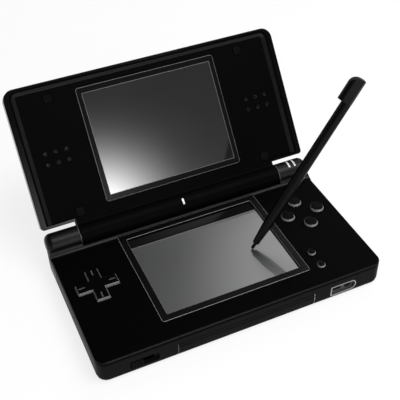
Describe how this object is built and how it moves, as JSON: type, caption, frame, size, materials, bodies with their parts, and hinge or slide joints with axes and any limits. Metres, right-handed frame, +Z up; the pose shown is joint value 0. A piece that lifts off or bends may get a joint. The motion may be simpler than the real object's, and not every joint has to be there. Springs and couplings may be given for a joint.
{
  "type": "handheld game console",
  "caption": "Clamshell handheld game console, lid open, with two screens, a cross pad, round buttons, shoulder triggers and a stylus standing on its touch panel.",
  "frame": {"origin": "centre of the base's flat underside, which the console rests on", "axes": "+X to the user's right along the hinge, +Y from the front edge towards the hinge, +Z up"},
  "size_m": [0.1371, 0.118, 0.0866],
  "materials": {
    "satin_case": "satin moulded plastic",
    "gloss_shell": "polished black plastic",
    "face_panel": "smooth satin black plastic",
    "button_plastic": "smooth moulded black plastic",
    "touch_glass": "glossy grey panel over the unlit display",
    "lens": "glossy clear lens over the unlit display",
    "display": "display module",
    "circuit_board": "green circuit board",
    "battery_case": "battery pack's moulded case",
    "rubber": "soft moulded rubber",
    "steel": "plain steel",
    "socket_plastic": "moulded grey plastic",
    "light_window": "clear white plastic",
    "ribbon": "rolled flat cable in amber film"
  },
  "bodies": {
    "base": {"base_lower_case": "satin_case", "battery_cover": "satin_case", "stylus_silo": "satin_case", "base_upper_case": "gloss_shell", "touch_panel_bezel": "face_panel", "touch_panel": "touch_glass", "lower_display": "display", "main_board": "circuit_board", "wireless_board": "circuit_board", "battery": "battery_case", "cross_pad_membrane": "rubber", "face_button_membrane": "rubber", "small_button_membrane": "rubber", "battery_cover_screw": "steel", "case_screw_1": "steel", "case_screw_2": "steel", "case_screw_3": "steel", "case_screw_4": "steel", "card_slot": "steel", "hinge_cartridge": "steel", "hinge_pin": "steel", "cartridge_slot": "socket_plastic", "charge_socket": "socket_plastic", "headphone_socket": "socket_plastic", "status_light_1": "light_window", "status_light_2": "light_window"},
    "lid": {"lid_outer_cover": "gloss_shell", "lid_inner_frame": "face_panel", "upper_lens": "lens", "upper_display": "display", "left_speaker": "steel", "right_speaker": "steel", "microphone": "socket_plastic", "hinge_ribbon": "ribbon", "lid_pad_1": "rubber", "lid_pad_2": "rubber", "lid_pad_3": "rubber", "lid_pad_4": "rubber"},
    "stylus": {"stylus": "gloss_shell"},
    "rocker": {"cross_pad_rocker": "rubber"},
    "cross": {"cross_pad": "button_plastic"},
    "button_left": {"face_button_left": "button_plastic"},
    "button_back": {"face_button_back": "button_plastic"},
    "button_right": {"face_button_right": "button_plastic"},
    "button_front": {"face_button_front": "button_plastic"},
    "start": {"start_button": "button_plastic"},
    "select": {"select_button": "button_plastic"},
    "trigger_left": {"left_trigger": "button_plastic"},
    "trigger_right": {"right_trigger": "button_plastic"},
    "power_knob": {"power_slider": "button_plastic"},
    "volume_knob": {"volume_slider": "button_plastic"},
    "slot_cover": {"cartridge_slot_cover": "satin_case"}
  },
  "joints": [
    {"name": "lid_hinge", "type": "hinge", "parent": "base", "child": "lid", "pos_m": [0, 0.0339, 0.015], "axis": [1, 0, 0], "range_deg": [-27.5, 127.5]},
    {"name": "stylus_swing", "type": "hinge", "parent": "base", "child": "stylus", "pos_m": [0.0179, -0.00483, 0.10245], "axis": [0, -1, 0], "range_deg": [-16.5, 76.5]},
    {"name": "rocker_tilt", "type": "hinge", "parent": "base", "child": "rocker", "pos_m": [-0.0525, 0.0038, 0.0099], "axis": [1, 0, 0], "range_deg": [-2, 2], "stiffness_Nm_per_rad": 0.15},
    {"name": "cross_tilt", "type": "hinge", "parent": "rocker", "child": "cross", "pos_m": [-0.0525, 0.0038, 0.0099], "axis": [0, -1, 0], "range_deg": [-2, 2], "stiffness_Nm_per_rad": 0.15},
    {"name": "left_button_press", "type": "slide", "parent": "base", "child": "button_left", "axis": [0, 0, -1], "range_m": [0, 0.0005], "stiffness_N_per_m": 2000},
    {"name": "back_button_press", "type": "slide", "parent": "base", "child": "button_back", "axis": [0, 0, -1], "range_m": [0, 0.0005], "stiffness_N_per_m": 2000},
    {"name": "right_button_press", "type": "slide", "parent": "base", "child": "button_right", "axis": [0, 0, -1], "range_m": [0, 0.0005], "stiffness_N_per_m": 2000},
    {"name": "front_button_press", "type": "slide", "parent": "base", "child": "button_front", "axis": [0, 0, -1], "range_m": [0, 0.0005], "stiffness_N_per_m": 2000},
    {"name": "start_press", "type": "slide", "parent": "base", "child": "start", "axis": [0, 0, -1], "range_m": [0, 0.0004], "stiffness_N_per_m": 2000},
    {"name": "select_press", "type": "slide", "parent": "base", "child": "select", "axis": [0, 0, -1], "range_m": [0, 0.0004], "stiffness_N_per_m": 2000},
    {"name": "left_trigger_press", "type": "hinge", "parent": "base", "child": "trigger_left", "pos_m": [-0.0536, 0.0356, 0.00605], "axis": [0, 0, 1], "range_deg": [0, 3], "stiffness_Nm_per_rad": 0.2},
    {"name": "right_trigger_press", "type": "hinge", "parent": "base", "child": "trigger_right", "pos_m": [0.0536, 0.0356, 0.00605], "axis": [0, 0, 1], "range_deg": [-3, 0], "stiffness_Nm_per_rad": 0.2},
    {"name": "power_slide", "type": "slide", "parent": "base", "child": "power_knob", "axis": [0, 1, 0], "range_m": [0, 0.0029], "stiffness_N_per_m": 300},
    {"name": "volume_slide", "type": "slide", "parent": "base", "child": "volume_knob", "axis": [1, 0, 0], "range_m": [0, 0.0065]},
    {"name": "slot_cover_slide", "type": "slide", "parent": "base", "child": "slot_cover", "axis": [0, -1, 0], "range_m": [0, 0.016]}
  ],
  "couplings": [
    {"joint": "stylus_swing", "follows": "lid_hinge", "ratio": 0.6}
  ]
}
